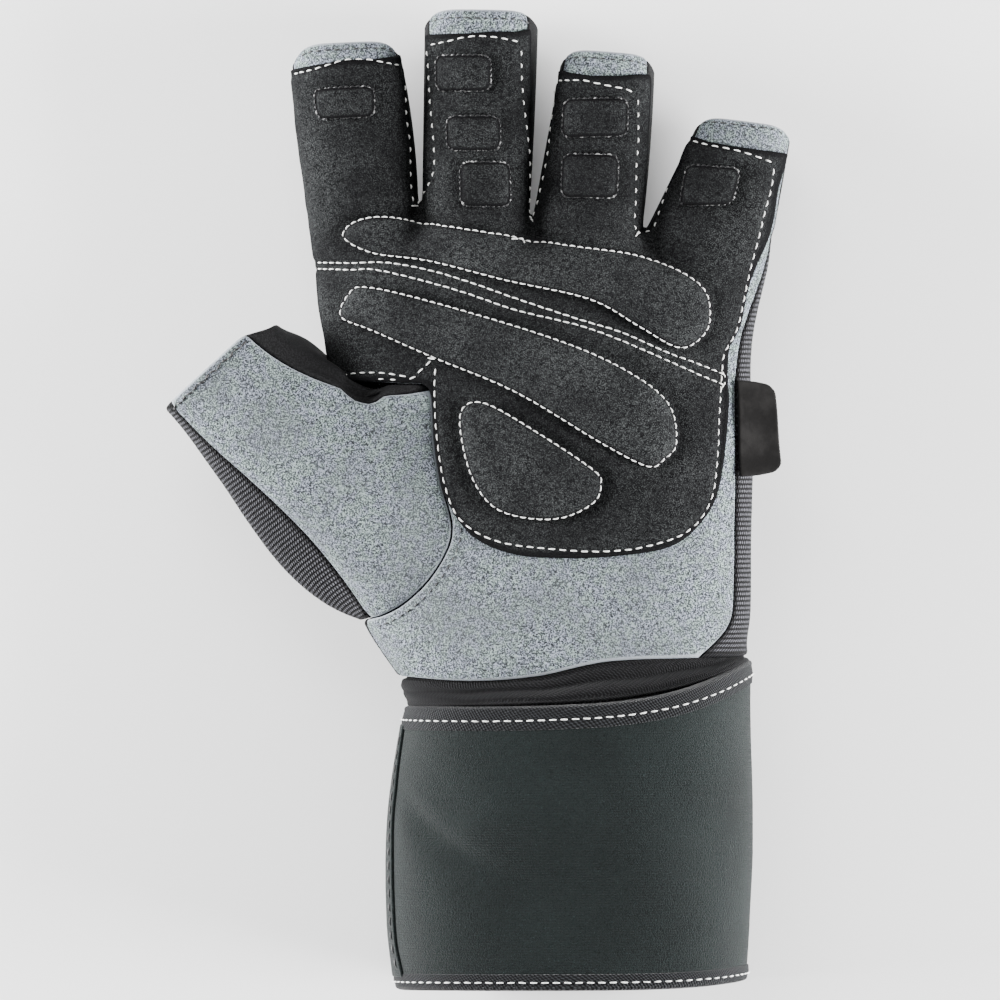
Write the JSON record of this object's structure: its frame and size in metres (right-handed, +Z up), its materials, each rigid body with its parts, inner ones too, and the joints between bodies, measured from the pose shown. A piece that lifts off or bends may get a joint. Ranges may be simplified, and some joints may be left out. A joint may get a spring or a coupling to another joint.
{
  "type": "weightlifting glove",
  "caption": "Half-finger weightlifting glove for the left hand, palm up, with padded palm, open thumb, knit band and a wrist wrap wound round the wrist.",
  "frame": {"origin": "centre of the glove's box, on the surface that its back lies on", "axes": "+X towards the little finger, +Y along the hand towards the fingertips, +Z up out of the palm"},
  "size_m": [0.1504, 0.2352, 0.058],
  "materials": {
    "grey_suede": "napped suede, matt",
    "black_suede": "napped suede, matt, white stitching",
    "stretch_cloth": "smooth stretch knit",
    "ribbed_weave": "coarse ribbed weave",
    "knit_band": "fine knit, folded",
    "wrap_cloth": "brushed loop cloth over foam",
    "binding_tape": "woven edge tape",
    "hook_tape": "hook tape",
    "tab_leather": "smooth, slightly glossy"
  },
  "bodies": {
    "root": {"palm_suede": "grey_suede", "thumb_panel": "grey_suede", "palm_overlay": "black_suede", "upper_pad": "black_suede", "middle_pad": "black_suede", "lower_pad": "black_suede", "index_pad": "black_suede", "middle_pad_top": "black_suede", "middle_pad_mid": "black_suede", "middle_pad_low": "black_suede", "ring_pad_top": "black_suede", "ring_pad_low": "black_suede", "pinky_pad": "black_suede", "thumb_gusset": "stretch_cloth", "fourchette_index_middle": "stretch_cloth", "fourchette_middle_ring": "stretch_cloth", "fourchette_ring_pinky": "stretch_cloth", "thumb_back": "ribbed_weave", "back_panel": "ribbed_weave", "wrist_band": "knit_band", "wrist_wrap": "wrap_cloth", "wrap_top_binding": "binding_tape", "wrap_bottom_binding": "binding_tape", "hook_patch": "hook_tape", "pull_tab": "tab_leather"}
  },
  "joints": []
}
